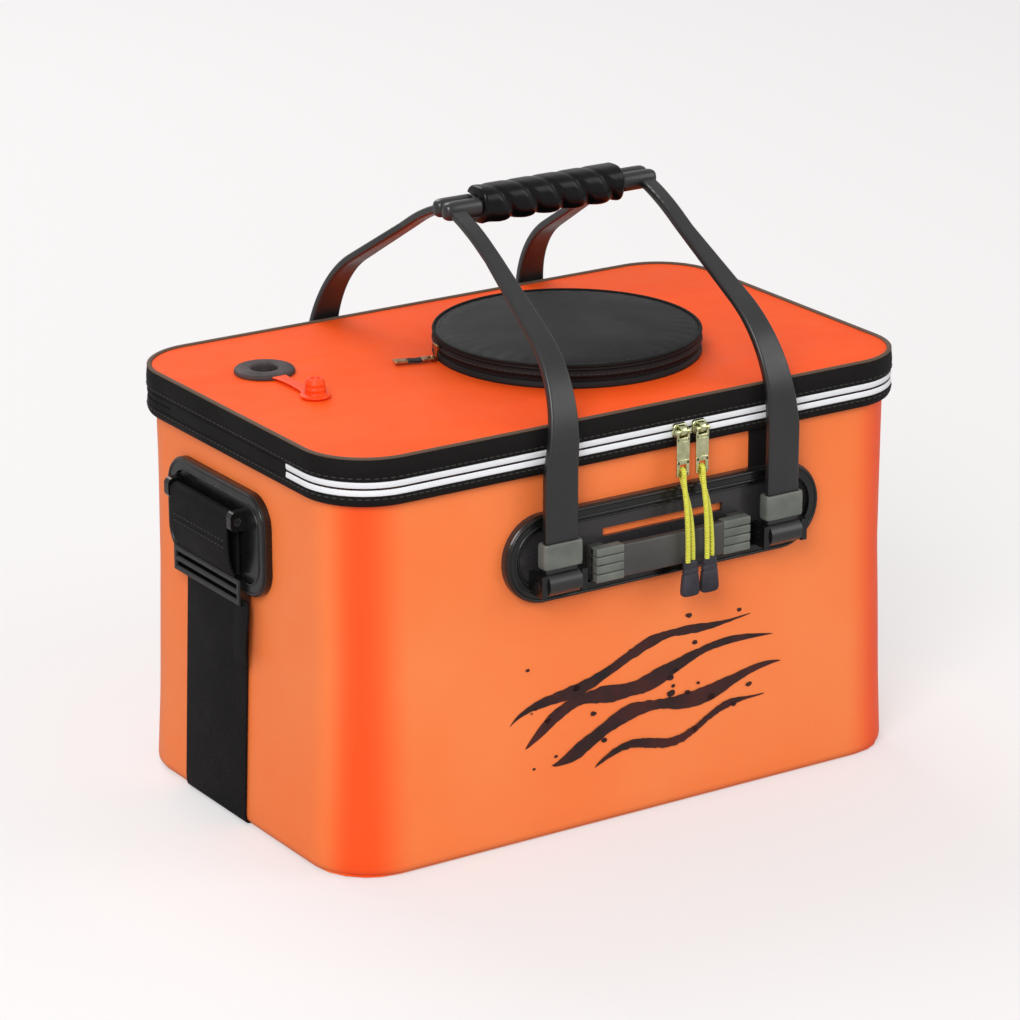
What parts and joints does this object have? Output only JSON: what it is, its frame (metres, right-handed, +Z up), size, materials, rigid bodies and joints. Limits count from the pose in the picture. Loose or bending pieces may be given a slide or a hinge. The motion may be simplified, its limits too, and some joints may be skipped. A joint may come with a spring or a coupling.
{
  "type": "fishing bucket",
  "caption": "Rectangular soft-sided fishing bucket with a zipped lid, round hatch, air port with stopper, folding carry handles and strap plates.",
  "frame": {"origin": "centre of the base, on the floor", "axes": "+X along the long side to the right, +Y to the back, +Z up"},
  "size_m": [0.417, 0.2805, 0.357],
  "materials": {
    "eva_orange": "semi-gloss welded sheet with a fine grain",
    "frame_black": "moulded, matte",
    "band_black": "coated webbing",
    "piping_tan": "thin bound edge",
    "zip_white": "woven zip tape",
    "zip_coil": "fine zip coil",
    "plate_black": "glossy moulded",
    "bar_grey": "satin moulded",
    "pin_steel": "turned pin",
    "strap_black": "woven webbing",
    "lock_black": "moulded adjuster",
    "hatch_black": "padded coated cloth",
    "hatch_zip": "dark zip coil",
    "hatch_metal": "dull coppery metal",
    "grommet_rubber": "matte rubber",
    "plug_orange": "soft orange rubber",
    "zip_metal": "bright plated",
    "cord_yellow": "braided cord",
    "end_slate": "moulded rubber",
    "arm_black": "coated strap",
    "keeper_grey": "satin moulded",
    "grip_black": "moulded finger grip"
  },
  "bodies": {
    "bucket": {"body_wall": "eva_orange", "base_panel": "eva_orange", "mouth_frame": "frame_black", "rim_band": "band_black", "zip_tape_lower": "zip_white", "zip_coil_lower": "zip_coil", "body_hinge_leaf": "band_black", "front_plate": "plate_black", "rear_plate": "plate_black", "front_grab_bar": "bar_grey", "rear_grab_bar": "bar_grey", "front_left_pin": "pin_steel", "front_right_pin": "pin_steel", "rear_left_pin": "pin_steel", "rear_right_pin": "pin_steel", "shoulder_strap": "strap_black", "left_plate": "plate_black", "right_plate": "plate_black", "left_strap_pin": "pin_steel", "right_strap_pin": "pin_steel", "left_strap_loop": "strap_black", "right_strap_loop": "strap_black", "left_ladder_lock": "lock_black", "right_ladder_lock": "lock_black"},
    "lid": {"lid_panel": "eva_orange", "lid_band": "band_black", "lid_piping": "piping_tan", "zip_tape_upper": "zip_white", "zip_coil_upper": "zip_coil", "lid_hinge_leaf": "band_black", "hatch_collar": "hatch_black", "hatch_zip_lower": "hatch_zip", "hatch_leaf_lower": "hatch_black", "grommet": "grommet_rubber", "grommet_ring": "grommet_rubber", "plug_anchor": "plug_orange"},
    "hatch": {"hatch_cover": "hatch_black", "hatch_wall": "hatch_black", "hatch_zip_upper": "hatch_zip", "hatch_leaf_upper": "hatch_black", "hatch_slider": "hatch_metal"},
    "hatch_tongue": {"hatch_pull": "hatch_metal"},
    "plug": {"plug_stopper": "plug_orange", "plug_tether": "plug_orange"},
    "front_handle": {"front_handle_loop": "arm_black", "front_left_keeper": "keeper_grey", "front_right_keeper": "keeper_grey", "grip": "grip_black"},
    "rear_handle": {"rear_handle_loop": "arm_black", "rear_left_keeper": "keeper_grey", "rear_right_keeper": "keeper_grey"},
    "left_zip_slider": {"left_slider": "zip_metal"},
    "right_zip_slider": {"right_slider": "zip_metal"},
    "left_zip_pull": {"left_puller": "zip_metal", "left_pull_cord": "cord_yellow", "left_pull_end": "end_slate"},
    "right_zip_pull": {"right_puller": "zip_metal", "right_pull_cord": "cord_yellow", "right_pull_end": "end_slate"}
  },
  "joints": [
    {"name": "lid_hinge", "type": "hinge", "parent": "bucket", "child": "lid", "pos_m": [-0.2, 0, 0.233], "axis": [0, -1, 0], "range_deg": [0, 90]},
    {"name": "front_handle_swing", "type": "hinge", "parent": "bucket", "child": "front_handle", "pos_m": [0.017, -0.132, 0.16], "axis": [1, 0, 0], "range_deg": [0, 153]},
    {"name": "rear_handle_swing", "type": "hinge", "parent": "bucket", "child": "rear_handle", "pos_m": [0.017, 0.132, 0.16], "axis": [-1, 0, 0], "range_deg": [0, 153]},
    {"name": "hatch_hinge", "type": "hinge", "parent": "lid", "child": "hatch", "pos_m": [0.1102, -0.005, 0.2556], "axis": [0, 1, 0], "range_deg": [0, 20]},
    {"name": "hatch_pull_swing", "type": "hinge", "parent": "hatch", "child": "hatch_tongue", "pos_m": [-0.05156, 0.01659, 0.252], "axis": [0.2588, 0.9659, 0], "range_deg": [0, 85]},
    {"name": "plug_flip", "type": "hinge", "parent": "lid", "child": "plug", "pos_m": [-0.145, 0.023, 0.2533], "axis": [-1, 0, 0], "range_deg": [0, 180]},
    {"name": "left_slider_slide", "type": "slide", "parent": "bucket", "child": "left_zip_slider", "axis": [1, 0, 0], "range_m": [-0.064, 0]},
    {"name": "right_slider_slide", "type": "slide", "parent": "bucket", "child": "right_zip_slider", "axis": [1, 0, 0], "range_m": [0, 0.031]},
    {"name": "left_pull_swing", "type": "hinge", "parent": "left_zip_slider", "child": "left_zip_pull", "pos_m": [0.025, -0.1298, 0.233], "axis": [-1, 0, 0], "range_deg": [0, 110]},
    {"name": "right_pull_swing", "type": "hinge", "parent": "right_zip_slider", "child": "right_zip_pull", "pos_m": [0.0385, -0.1298, 0.233], "axis": [-1, 0, 0], "range_deg": [0, 110]}
  ],
  "couplings": [
    {"joint": "front_handle_swing", "follows": "lid_hinge", "ratio": 1.7},
    {"joint": "rear_handle_swing", "follows": "lid_hinge", "ratio": 1.7}
  ]
}
